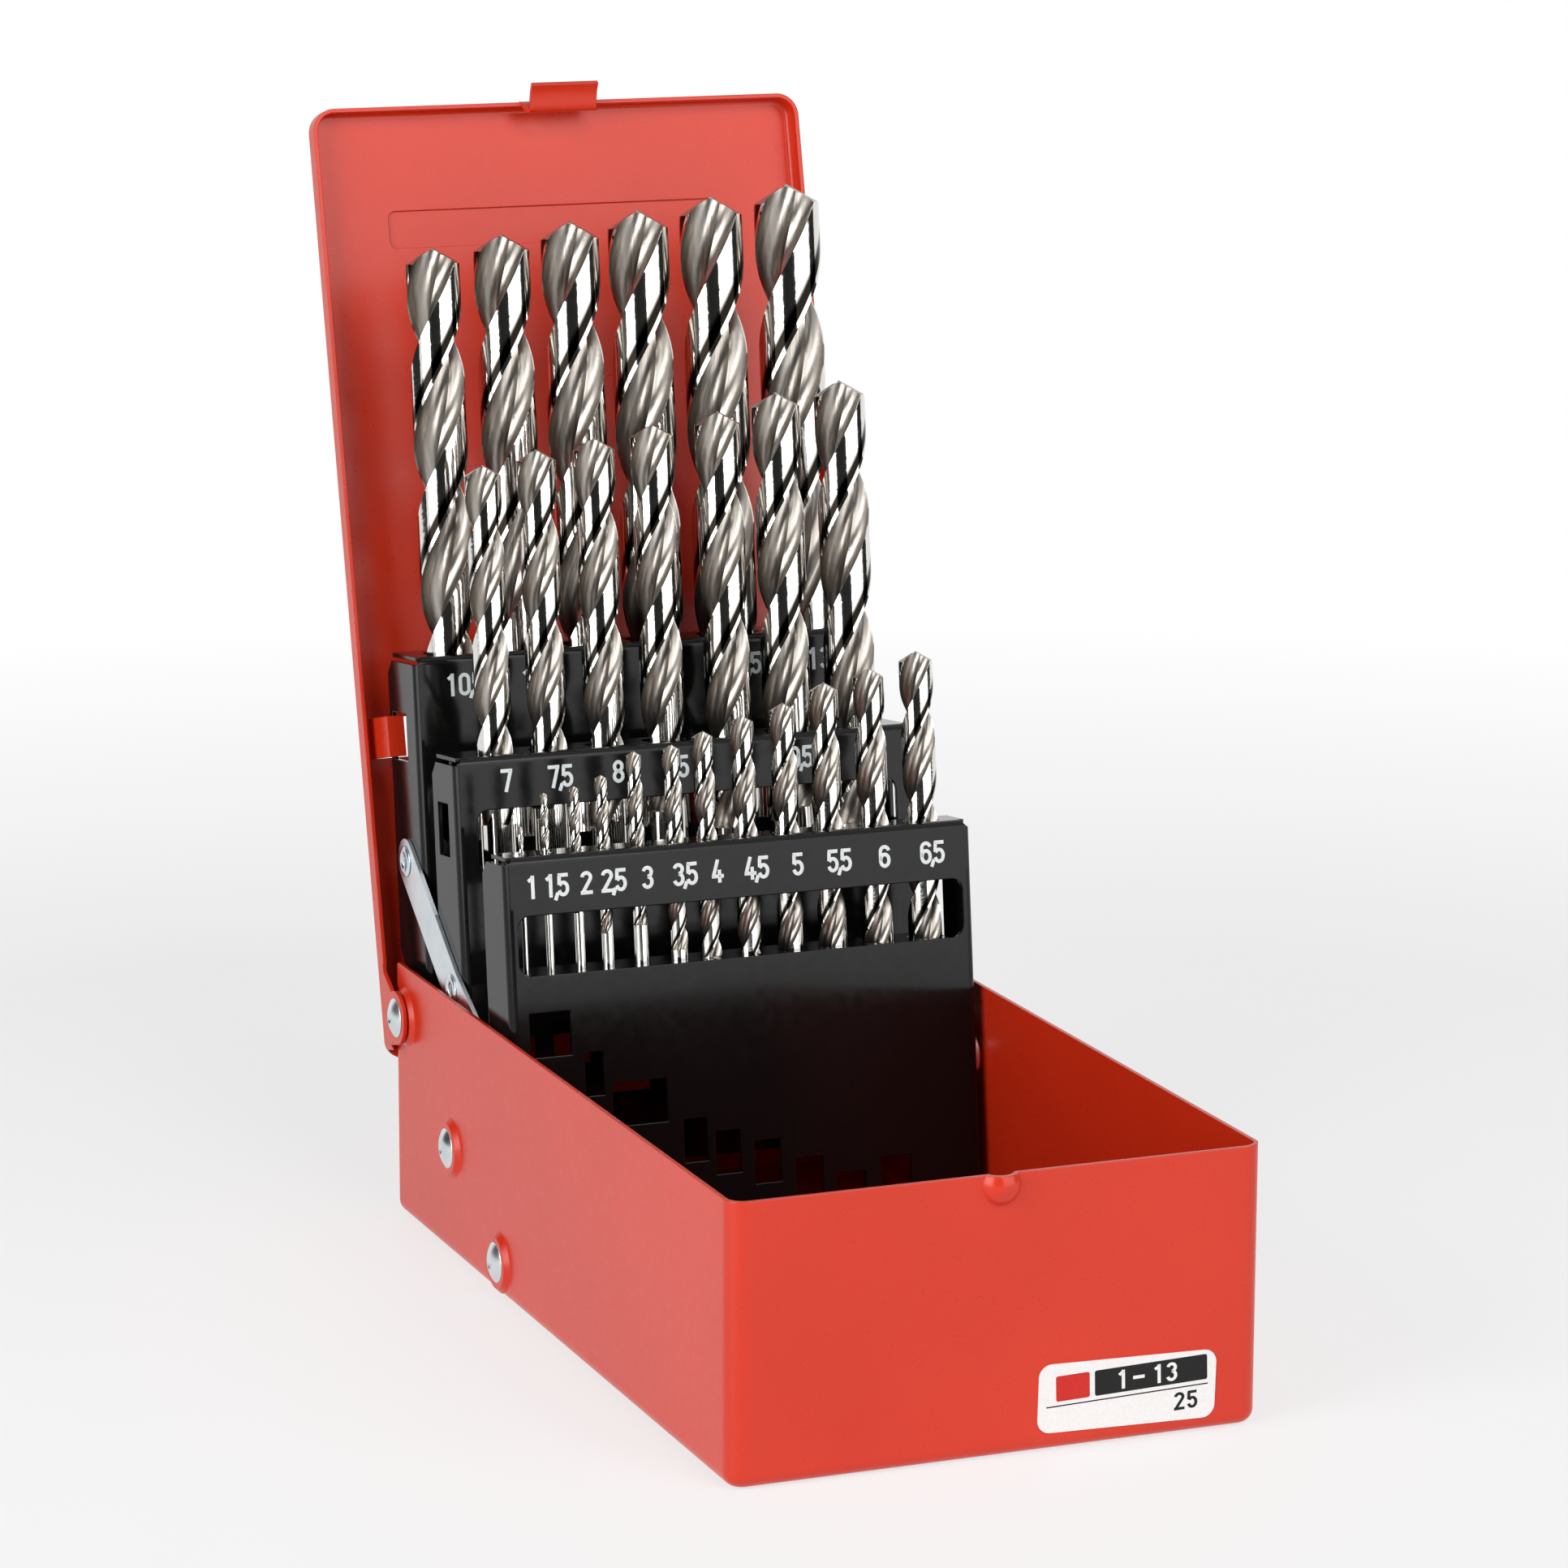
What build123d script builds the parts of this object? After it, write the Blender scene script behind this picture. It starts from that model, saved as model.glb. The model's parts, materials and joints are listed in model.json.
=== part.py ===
from build123d import *
import math
import os

# Drill bit case for 25 twist drills, 1 to 13 mm in steps of 0.5 mm, modelled open.
# Frame: millimetres, +X to the right, +Y to the back, +Z up, with the origin at the
# centre of the tray's bottom face. The lid and the three racks turn about pins along X.

# ---- driving dimensions -------------------------------------------------------------
SHEET = 0.8  # steel sheet of every pressed piece

TRAY_WIDTH = 100.0
TRAY_LENGTH = 182.5
TRAY_HEIGHT = 51.0
TRAY_CORNER = 3.5  # upright corners
TRAY_BEND = 2.5  # edge of the floor
REAR_SCOOP_DEPTH = 6.5  # the rear wall is scooped out behind the drills
REAR_SCOOP_MARGIN = 2.0  # from the outside of the side walls
REAR_SCOOP_CORNER = 4.0

# pins: distance in front of the tray's rear face, and height over its bottom
LID_PIN_SETBACK = 7.8
LID_PIN_HEIGHT = 41.0
MIDDLE_PIN_SETBACK = 35.2
MIDDLE_PIN_HEIGHT = 21.7
FRONT_PIN_SETBACK = 63.5
FRONT_PIN_HEIGHT = 6.9

BOSS_HEIGHT = 1.0  # round boss pressed outward around each pin
BOSS_TOP_RADIUS = 5.0
BOSS_SLOPE = 1.0

NUB_RADIUS = 4.0  # latch nub: a dome pressed out of the front wall
NUB_DEPTH = 1.7  # its centre, behind the wall's outer face
NUB_DROP = 2.0  # its centre, under the rim

LABEL_WIDTH = 34.0
LABEL_HEIGHT = 12.4
LABEL_CORNER = 2.4
LABEL_THICKNESS = 0.15
LABEL_CENTRE_X = 24.2
LABEL_CENTRE_Z = 9.2
LABEL_TILT = -1.5

LID_LEAN = 13.35  # lean of the open lid behind the upright
LID_SEAT = 1.0  # play over the rim at the hinge: the shut lid slopes down to the front rim
LID_SWEEP_PLAY = 0.15  # between the swinging lid and the rim's rear corners
LID_PLAY = 0.7  # beside the tray's walls
LID_LENGTH = 179.5  # from the pin to the front face
LID_DEPTH = 4.9
LID_CORNER = 4.5
LID_BEND = 1.7
LID_REAR_GAP = 0.95  # between the lid's tail and the tray's rear face, wide open
EAR_RADIUS = 5.3
EAR_PLAY = 0.3  # between the ear and the boss
EAR_CRANK_PLAY = 0.4  # between the ear's crank and the boss, and beyond the flange's edge
EAR_REACH = 10.5  # along the lid, where the ear runs out into the flange
EAR_NECK = 1.2  # behind the pin, where the ear's straight front edge meets its round end

LIP_ROOT_WIDTH = 15.8
LIP_TIP_WIDTH = 14.0
LIP_CATCH = 2.3  # how far its inward bend comes in from the flange's outer face
LIP_REACH = 3.3  # how far its tip stands out of the flange's outer face
LIP_DEPTH = 9.75  # from the panel's outer face to the tip
LIP_DROP = 1.7  # from the flange's edge to the catch
LIP_SHOULDER = 0.5  # straight part of its sides, beyond the flange's edge
LIP_TAPER_END = 2.5  # its sides are parallel again this near the tip

BAND_WIDTH = 72.0  # raised band across the lid
BAND_HEIGHT = 9.0
BAND_ALONG = 155.5
BAND_CENTRE_X = -1.1
BAND_RISE = 0.4
BAND_CORNER = 1.5

HOOK_WIDTH = 8.0  # tab lanced from the panel, which draws the rear rack along
HOOK_ALONG = 55.0
HOOK_LEG_GAP = 0.2  # between its leg and the tray's side wall
HOOK_FOOT = 3.5
HOOK_BEHIND = -0.7

RACK_LEAN = 6.5  # lean of the open racks behind the upright
RACK_ROOM = 1.8  # between the racks' cheeks and the tray's walls
RACK_BEND = 1.6
CHEEK_DROP = 1.4  # top of the cheeks, under the rack's top face
CHEEK_CHAMFER = 2.5
RACK_CORNER = 1.2
LUG_RADIUS = 5.2
LUG_HEIGHT = 8.0  # the cheek widens above this
CHEEK_FULL_HEIGHT = 12.5
WINDOW_CORNER = 2.5
TAB_HEIGHT = 8.4  # opening under each stop tab
TAB_SHARE = 0.34  # half width of a tab, as a share of its drill's diameter
TAB_MARGIN = 1.2  # and what is added to that
TAB_HALF_MAX = 4.0
TAB_REACH = 2.4  # how far a tab runs behind its drill's centre
TAB_FOOT = 1.5  # plate left under the lowest opening
DRILL_PLAY = 0.15  # all round a drill in its holes

PIN_RADIUS = 2.0
PIN_PLAY = 0.05  # radial, in everything that turns on a pin
SIDE_PLAY = 0.05  # beside everything that turns on a pin
HEAD_RADIUS = 3.9
HEAD_HEIGHT = 1.2
TAIL_RADIUS = 3.0
TAIL_HEIGHT = 0.8
SPACER_RADIUS = 3.9

LINK_WIDTH = 9.0
CRANK_BEHIND = 0.6  # eyelet from the rack's pin, square to the rack
CRANK_UP = 30.5  # eyelet from the rack's pin, along the rack
EYELET_RADIUS = 1.9
EYELET_BORE = 1.25
EYELET_HEAD_RADIUS = 3.05
EYELET_HEAD = 0.4

# drills: lengths as shares of the drill's radius, angles about its axis in degrees
WEB_SHARE = 0.16  # half of the web between the flutes
FLUTE_RADIUS = 0.50  # round bottom of a flute
FLUTE_TURN = -23.0  # where it lies, from the flute's middle
HEEL_RADIUS = 0.55  # flatter side of the flute, towards the heel of the land
HEEL_OUT = 0.98
HEEL_TURN = 17.0
LAND_AT_POINT = 6.0  # middle of a land at the point, from +X
HELIX = 30.0
POINT_ANGLE = 118.0
SHANK_CHAMFER = 0.06  # as a share of the diameter

# overall and flute lengths of jobber drills by diameter, as DIN 338 gives them
JOBBER = {
    1.0: (34, 12), 1.5: (40, 18), 2.0: (49, 24), 2.5: (57, 30), 3.0: (61, 33),
    3.5: (70, 39), 4.0: (75, 43), 4.5: (80, 47), 5.0: (86, 52), 5.5: (93, 57),
    6.0: (93, 57), 6.5: (101, 63), 7.0: (109, 69), 7.5: (109, 69), 8.0: (117, 75),
    8.5: (117, 75), 9.0: (125, 81), 9.5: (125, 81), 10.0: (133, 87), 10.5: (133, 87),
    11.0: (142, 94), 11.5: (142, 94), 12.0: (151, 101), 12.5: (151, 101), 13.0: (151, 101),
}

# Each rack: plate is its front face and cheek its rear edge, both behind the pin; top and
# bottom are along it. Its drills are (diameter, x, height of the tab it stands on).
REAR_RACK = dict(
    pin=(LID_PIN_SETBACK, LID_PIN_HEIGHT), plate=-8.1, cheek=9.0, top=70.9, bottom=-5.0,
    flange=16.1, window=(34.5, 51.0), window_margin=3.8, drill_line=-0.1,
    slot=(-1.4, 7.3, 50.1, 59.5),
    drills=[(10.5, -37.35, 16.7), (11.0, -23.2, 9.8), (11.5, -9.0, 11.7), (12.0, 5.3, 4.3),
            (12.5, 20.7, 6.4), (13.0, 36.9, 8.2)],
)
MIDDLE_RACK = dict(
    pin=(MIDDLE_PIN_SETBACK, MIDDLE_PIN_HEIGHT), plate=-4.9, cheek=9.1, top=75.3, bottom=-6.0,
    flange=13.2, window=(53.0, 65.1), window_margin=4.0, drill_line=1.5,
    slot=(0.1, 6.3, 56.0, 66.3),
    drills=[(7.0, -37.0, 21.6), (7.5, -26.1, 24.0), (8.0, -14.3, 17.6), (8.5, -2.3, 19.6),
            (9.0, 11.4, 13.4), (9.5, 23.6, 16.4), (10.0, 37.1, 10.0)],
)
FRONT_RACK = dict(
    pin=(FRONT_PIN_SETBACK, FRONT_PIN_HEIGHT), plate=-5.3, cheek=7.7, top=76.7, bottom=-2.2,
    flange=9.7, window=(54.2, 65.6), window_margin=2.1, drill_line=-0.3,
    slot=None,
    drills=[(1.0, -42.2, 48.0), (1.5, -37.3, 48.0), (2.0, -31.3, 39.8), (2.5, -25.8, 33.5),
            (3.0, -19.1, 33.5), (3.5, -11.5, 25.2), (4.0, -5.0, 22.3), (4.5, 3.0, 19.7),
            (5.0, 11.4, 15.5), (5.5, 19.95, 11.8), (6.0, 29.3, 13.9), (6.5, 39.25, 8.5)],
)

# ---- worked out from the above ------------------------------------------------------
WALL_OUT = TRAY_WIDTH / 2
WALL_IN = WALL_OUT - SHEET
BOSS_OUT = WALL_OUT + BOSS_HEIGHT
BOSS_IN = BOSS_OUT - SHEET
REAR_FACE = TRAY_LENGTH / 2
FRONT_FACE = -TRAY_LENGTH / 2
PANEL_IN = TRAY_HEIGHT - LID_PIN_HEIGHT + LID_SEAT
PANEL_OUT = PANEL_IN + SHEET
LID_HALF_WIDTH = WALL_OUT + LID_PLAY + SHEET
LEAN = math.radians(LID_LEAN)
LID_TAIL = (PANEL_IN * math.cos(LEAN) - LID_PIN_SETBACK - LID_REAR_GAP) / math.sin(LEAN)
RACK_HALF_WIDTH = WALL_IN - RACK_ROOM
CHEEK_IN = RACK_HALF_WIDTH - SHEET
EAR_IN = BOSS_OUT + EAR_PLAY
EAR_OUT = EAR_IN + SHEET
LINK_IN = RACK_HALF_WIDTH + SIDE_PLAY
LINK_OUT = LINK_IN + SHEET
HEAD_DOME = (HEAD_RADIUS**2 + HEAD_HEIGHT**2) / (2 * HEAD_HEIGHT)  # radius of its dome
TINY = 0.01


def placed(shape, pin, lean):
    """Stand a shape built about its pin on that pin, leaning back."""
    setback, height = pin
    return Pos(0, REAR_FACE - setback, height) * Rot(-lean, 0, 0) * shape


def along_x(radius, x0, x1, y=0.0, z=0.0):
    """A round bar along X from x0 to x1."""
    bar = Cylinder(radius, abs(x1 - x0))
    return Pos((x0 + x1) / 2, y, z) * Rot(0, 90, 0) * bar


def block(x0, x1, y0, y1, z0, z1):
    """A box between the given planes."""
    size = Box(abs(x1 - x0), abs(y1 - y0), abs(z1 - z0))
    return Pos((x0 + x1) / 2, (y0 + y1) / 2, (z0 + z1) / 2) * size


def side_profile(points, x0, x1):
    """A prism along X from a polygon given as (y, z) points."""
    wire = Polyline(*[(x0, y, z) for y, z in points], close=True)
    face = make_face(wire.edges())
    return extrude(face, amount=x1 - x0, dir=(1, 0, 0))


def pan(width, length, height, corner, bend):
    """An open pressed pan with its floor on z = 0 and its mouth up."""
    outer = extrude(RectangleRounded(width, length, corner), amount=height)
    outer = fillet(outer.edges().group_by(Axis.Z)[0], bend)
    inner_face = RectangleRounded(width - 2 * SHEET, length - 2 * SHEET, corner - SHEET)
    inner = Pos(0, 0, SHEET) * extrude(inner_face, amount=height)
    inner = fillet(inner.edges().group_by(Axis.Z)[0], bend - SHEET)
    return outer - inner


# ---- tray ---------------------------------------------------------------------------
def boss(pin, side):
    """The boss around a pin, and the hollow behind it."""
    y = REAR_FACE - pin[0]
    z = pin[1]
    foot_radius = BOSS_TOP_RADIUS + BOSS_SLOPE
    cone = Cone(foot_radius, BOSS_TOP_RADIUS, BOSS_HEIGHT)
    hollow = Cone(foot_radius - SHEET / 2, BOSS_TOP_RADIUS - SHEET / 2, BOSS_HEIGHT)
    turn = Rot(0, 90 * side, 0)
    outward = Pos(side * (WALL_OUT + BOSS_HEIGHT / 2), y, z) * turn * cone
    root = along_x(foot_radius - TINY, side * WALL_IN, side * WALL_OUT, y, z)
    inward = Pos(side * (WALL_IN + BOSS_HEIGHT / 2), y, z) * turn * hollow
    return outward + root, inward


def tray():
    shell = pan(TRAY_WIDTH, TRAY_LENGTH, TRAY_HEIGHT, TRAY_CORNER, TRAY_BEND)
    for pin in (REAR_RACK["pin"], MIDDLE_RACK["pin"], FRONT_RACK["pin"]):
        for side in (-1, 1):
            outward, inward = boss(pin, side)
            shell = shell + outward - inward
            y = REAR_FACE - pin[0]
            shell -= along_x(PIN_RADIUS, side * WALL_IN, side * (BOSS_OUT + 1), y, pin[1])
    shell += latch_nub(NUB_RADIUS, FRONT_FACE + SHEET)
    shell -= latch_nub(NUB_RADIUS - SHEET, FRONT_FACE + 2 * SHEET)
    return shell - lid_sweep() - rear_scoop()


def latch_nub(radius, back):
    """The dome of the latch nub in front of a plane, cut off level with the rim."""
    centre_y = FRONT_FACE + NUB_DEPTH
    ball = Pos(0, centre_y, TRAY_HEIGHT - NUB_DROP) * Sphere(radius)
    return ball & block(-radius, radius, FRONT_FACE - radius, back, 0, TRAY_HEIGHT)


def lid_sweep():
    """What the swinging tail of the lid needs: the rim's rear corners follow an arc."""
    y = REAR_FACE - LID_PIN_SETBACK
    radius = PANEL_IN - LID_SWEEP_PLAY
    x = WALL_OUT + 1
    corner = block(-x, x, y, REAR_FACE + 1, LID_PIN_HEIGHT, TRAY_HEIGHT + 1)
    return corner - along_x(radius, -x, x, y, LID_PIN_HEIGHT)


def rear_scoop():
    """What is cut out of the rear wall, to leave room behind the standing drills."""
    width = 2 * (WALL_OUT - REAR_SCOOP_MARGIN)
    shape = RectangleRounded(width, 2 * REAR_SCOOP_DEPTH, REAR_SCOOP_CORNER)
    cut = Rot(90, 0, 0) * extrude(shape, amount=TRAY_CORNER, both=True)
    return Pos(0, REAR_FACE, TRAY_HEIGHT) * cut


def label():
    plate = extrude(RectangleRounded(LABEL_WIDTH, LABEL_HEIGHT, LABEL_CORNER), LABEL_THICKNESS)
    upright = Rot(0, -LABEL_TILT, 0) * Rot(90, 0, 0) * plate
    return Pos(LABEL_CENTRE_X, FRONT_FACE, LABEL_CENTRE_Z) * upright


# ---- lid ----------------------------------------------------------------------------
# Built about its pin: y is behind the pin and z along the lid.
def lid_shell():
    length = LID_LENGTH + LID_TAIL
    spare = 2 * LID_CORNER
    body = pan(2 * LID_HALF_WIDTH, length + spare, LID_DEPTH, LID_CORNER, LID_BEND)
    upright = Rot(90, 0, 0) * body
    shell = Pos(0, PANEL_OUT, LID_LENGTH - (length + spare) / 2) * upright
    outline = RectangleRounded(2 * LID_HALF_WIDTH, length, LID_CORNER)
    cutter = Rot(90, 0, 0) * extrude(outline, amount=LID_DEPTH + 2, both=True)
    return shell & (Pos(0, PANEL_OUT, LID_LENGTH - length / 2) * cutter)


def lid_ear(side):
    """A lug about the pin, cranked out over the boss."""
    flange_in = LID_HALF_WIDTH - SHEET
    crank_low = BOSS_TOP_RADIUS + EAR_CRANK_PLAY
    crank_high = PANEL_OUT - LID_DEPTH + EAR_CRANK_PLAY
    neck = math.sqrt(EAR_RADIUS**2 - EAR_NECK**2) - TINY
    merge = PANEL_OUT - LID_BEND
    section = Polyline(
        (EAR_IN, -EAR_RADIUS), (EAR_OUT, -EAR_RADIUS), (EAR_OUT, crank_low),
        (LID_HALF_WIDTH, crank_high), (LID_HALF_WIDTH, merge), (flange_in, merge),
        (flange_in, crank_high), (EAR_IN, crank_low), close=True,
    )
    sheet = extrude(make_face(section.edges()), amount=2 * EAR_REACH, both=True)
    lug = Polyline(
        (0, -EAR_RADIUS), (merge, -EAR_RADIUS), (merge, EAR_REACH + 2),
        (PANEL_OUT - LID_DEPTH, EAR_REACH), (EAR_NECK, neck), close=True,
    )
    flat = make_face(lug.edges()) + Circle(EAR_RADIUS)
    prism = Plane((0, 0, 0), x_dir=(0, 1, 0), z_dir=(1, 0, 0)) * extrude(flat, amount=EAR_OUT + 1)
    ear = sheet & prism
    ear -= along_x(PIN_RADIUS + PIN_PLAY, EAR_IN - 1, EAR_OUT + 1)
    if side < 0:
        ear = mirror(ear, about=Plane.YZ)
    return ear


def finger_lip():
    """The tongue of the front flange: it bends in to catch under the nub, then flares out."""
    out = LID_LENGTH
    flange_edge = PANEL_OUT - LID_DEPTH
    tip = PANEL_OUT - LIP_DEPTH
    spine = Spline(
        (0, PANEL_OUT - LID_BEND, out - SHEET / 2),
        (0, flange_edge, out - SHEET / 2),
        (0, flange_edge - LIP_DROP, out - LIP_CATCH + SHEET / 2),
        (0, tip, out + LIP_REACH - SHEET / 2),
        tangents=[(0, -1, 0), (0, -0.75, 0.66)],
    )
    half_root = LIP_ROOT_WIDTH / 2
    half_tip = LIP_TIP_WIDTH / 2
    strip = extrude(sheet_along(spine), amount=half_root, dir=(1, 0, 0), both=True)
    shoulder = flange_edge - LIP_SHOULDER
    taper_end = tip + LIP_TAPER_END
    outline = Polyline(
        (-half_root, PANEL_OUT), (half_root, PANEL_OUT), (half_root, shoulder),
        (half_tip, taper_end), (half_tip, tip - 2), (-half_tip, tip - 2),
        (-half_tip, taper_end), (-half_root, shoulder), close=True,
    )
    column = extrude(make_face(outline.edges()), amount=LIP_DEPTH, both=True)
    return strip & (Pos(0, 0, out) * column)


def sheet_along(spine):
    """Edge-on view of a sheet that follows a curve in the YZ plane."""
    steps = 24
    inner = []
    outer = []
    for i in range(steps + 1):
        p = spine @ (i / steps)
        t = spine % (i / steps)
        nrm = Vector(0, -t.Z, t.Y) * (SHEET / 2)
        inner.append(p + nrm)
        outer.append(p - nrm)
    a = Spline(*inner)
    b = Spline(*outer)
    ends = [Line(inner[0], outer[0]), Line(inner[-1], outer[-1])]
    return make_face([a, b] + ends)


def hook(side):
    """A tab lanced from the panel: a leg beside the rack and a foot through its cheek."""
    leg_out = WALL_IN - HOOK_LEG_GAP
    leg_in = leg_out - SHEET
    low = HOOK_ALONG - HOOK_WIDTH / 2
    high = HOOK_ALONG + HOOK_WIDTH / 2
    leg = block(leg_in, leg_out, HOOK_BEHIND, PANEL_IN + SHEET / 2, low, high)
    foot = block(leg_out - HOOK_FOOT, leg_out, HOOK_BEHIND, HOOK_BEHIND + SHEET, low, high)
    tab = leg + foot
    if side < 0:
        tab = mirror(tab, about=Plane.YZ)
    return tab


def lance(side):
    """The hole that the hook leaves in the panel."""
    leg_in = WALL_IN - HOOK_LEG_GAP - SHEET
    length = PANEL_IN - HOOK_BEHIND + HOOK_FOOT - SHEET
    low = HOOK_ALONG - HOOK_WIDTH / 2
    high = HOOK_ALONG + HOOK_WIDTH / 2
    return block(side * leg_in, side * (leg_in - length), 0, PANEL_OUT + 1, low, high)


def raised_band(inset):
    """The band pressed outward across the panel, drawn in by an inset all round."""
    shape = RectangleRounded(BAND_WIDTH - 2 * inset, BAND_HEIGHT - 2 * inset, BAND_CORNER)
    prism = Rot(90, 0, 0) * extrude(shape, amount=-(SHEET / 2 + BAND_RISE))
    return prism


def lid():
    shell = lid_shell()
    for side in (-1, 1):
        shell += lid_ear(side)
    shell += finger_lip()
    outer = Pos(BAND_CENTRE_X, PANEL_OUT - SHEET / 2, BAND_ALONG) * raised_band(0)
    inner = Pos(BAND_CENTRE_X, PANEL_IN - SHEET / 2, BAND_ALONG) * raised_band(SHEET)
    shell = shell + outer - inner
    for side in (-1, 1):
        shell = shell - lance(side) + hook(side)
    return placed(shell, REAR_RACK["pin"], LID_LEAN)


# ---- racks --------------------------------------------------------------------------
# Built about their pin: y is behind the pin and z along the rack.
def rack_sheet(rack):
    """Front plate with its two cheeks and its top flange, all bent from one sheet."""
    plate = rack["plate"]
    deep = rack["cheek"] - plate
    cheek_top = rack["top"] - CHEEK_DROP
    outer = Rectangle(2 * RACK_HALF_WIDTH, 2 * deep)
    outer = fillet(outer.vertices(), RACK_BEND)
    inner = Rectangle(2 * CHEEK_IN, 2 * (deep - SHEET))
    inner = fillet(inner.vertices(), RACK_BEND - SHEET)
    channel = Pos(0, rack["cheek"], rack["bottom"]) * extrude(
        outer - inner, amount=cheek_top - rack["bottom"]
    )
    channel &= cheek_outline(rack)
    flange = rack["flange"]
    bent = Rectangle(2 * flange, 2 * flange)
    bent = fillet(bent.vertices(), RACK_BEND)
    hollow = Rectangle(2 * (flange - SHEET), 2 * (flange - SHEET))
    hollow = fillet(hollow.vertices(), RACK_BEND - SHEET)
    corner = (bent - hollow) & (Pos(-flange / 2, flange / 2) * Rectangle(flange, flange))
    fold = Plane((0, 0, 0), x_dir=(0, 1, 0), z_dir=(1, 0, 0)) * extrude(
        corner, amount=CHEEK_IN, both=True
    )
    top = Pos(0, plate + flange, rack["top"] - flange) * fold
    for side in (-1, 1):
        x = side * CHEEK_IN
        tip = Polyline(
            (x, rack["top"] + 1), (x - side * (RACK_CORNER + 1), rack["top"] + 1),
            (x, rack["top"] - RACK_CORNER), close=True,
        )
        cut = extrude(make_face(tip.edges()), amount=RACK_BEND + 1)
        top -= Pos(0, plate + RACK_BEND, 0) * Rot(90, 0, 0) * cut
    return channel + top


def cheek_outline(rack):
    """Side view of the cheeks: a lug about the pin below, a chamfered corner above."""
    front = rack["plate"] - 1
    rear = rack["cheek"]
    top = rack["top"] - CHEEK_DROP
    outline = [
        (front, rack["bottom"]), (0, rack["bottom"]), (LUG_RADIUS, 0),
        (LUG_RADIUS, LUG_HEIGHT), (rear, CHEEK_FULL_HEIGHT), (rear, top - CHEEK_CHAMFER),
        (rear - CHEEK_CHAMFER, top), (front, top),
    ]
    x = RACK_HALF_WIDTH + 1
    body = side_profile(outline, -x, x)
    lug = along_x(LUG_RADIUS, -x, x)
    return body + lug


def window(rack):
    low, high = rack["window"]
    width = 2 * (RACK_HALF_WIDTH - rack["window_margin"])
    opening = RectangleRounded(width, high - low, WINDOW_CORNER)
    cut = Rot(90, 0, 0) * extrude(opening, amount=RACK_BEND, both=True)
    return Pos(0, rack["plate"], (low + high) / 2) * cut


def shelf(rack):
    """The flap of the window, bent in along its lower edge."""
    low, high = rack["window"]
    half = RACK_HALF_WIDTH - rack["window_margin"] - WINDOW_CORNER
    rear = rack["plate"] + SHEET / 2 + (high - low)
    return block(-half, half, rack["plate"] + SHEET / 4, rear, low - SHEET, low)


def tab_groups(rack):
    """Drills that stand on one tab: (stop height, left, right, largest diameter)."""
    groups = {}
    for diameter, x, stop in rack["drills"]:
        half = min(TAB_SHARE * diameter + TAB_MARGIN, TAB_HALF_MAX)
        left, right = x - half, x + half
        if stop in groups:
            left = min(left, groups[stop][0])
            right = max(right, groups[stop][1])
        groups[stop] = (left, right)
    return groups


def stop_tabs(rack):
    """Tabs that the drills stand on, and the openings that they leave in the plate."""
    tabs = []
    openings = []
    reach = rack["drill_line"] + TAB_REACH
    for stop, (left, right) in tab_groups(rack).items():
        tab = block(left, right, rack["plate"] + SHEET / 4, reach, stop - SHEET, stop)
        tabs.append(tab)
        low = stop - SHEET - TAB_HEIGHT
        low = max(low, rack["bottom"] + TAB_FOOT)
        hole = block(left, right, rack["plate"] - 1, rack["plate"] + RACK_BEND, low, stop - SHEET)
        openings.append(hole)
    return tabs, openings


def rack_body(rack):
    body = rack_sheet(rack) - window(rack)
    body += shelf(rack)
    tabs, openings = stop_tabs(rack)
    for opening in openings:
        body -= opening
    for tab in tabs:
        body += tab
    for diameter, x, stop in rack["drills"]:
        radius = diameter / 2 + DRILL_PLAY
        long_hole = Cylinder(radius, rack["top"] + 1 - (rack["window"][0] - 2 * SHEET),
                             align=(Align.CENTER, Align.CENTER, Align.MAX))
        body -= Pos(x, rack["drill_line"], rack["top"] + 1) * long_hole
    reach = RACK_HALF_WIDTH + 1
    for side in (-1, 1):
        body -= along_x(PIN_RADIUS + PIN_PLAY, side * (CHEEK_IN - 1), side * reach)
        body -= along_x(EYELET_RADIUS, side * (CHEEK_IN - 1), side * reach,
                        CRANK_BEHIND, CRANK_UP)
        if rack["slot"]:
            y0, y1, z0, z1 = rack["slot"]
            body -= block(side * (CHEEK_IN - 1), side * reach, y0, y1, z0, z1)
    return placed(body, rack["pin"], RACK_LEAN)


# ---- drills -------------------------------------------------------------------------
LAND_IN_SECTION = 90.0  # middle of a land in the section below


def drill_section(radius):
    """Two lands and two flutes, each flute a round bottom with a flatter heel side."""
    bottom = FLUTE_RADIUS * radius
    heel = HEEL_RADIUS * radius
    section = Sketch() + Circle(radius)
    for half_turn in (0, 180):
        deep = Rot(0, 0, half_turn + FLUTE_TURN) * Pos(WEB_SHARE * radius + bottom, 0)
        flat = Rot(0, 0, half_turn + HEEL_TURN) * Pos(HEEL_OUT * radius, 0)
        section = section - deep * Circle(bottom) - flat * Circle(heel)
    return section


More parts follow.
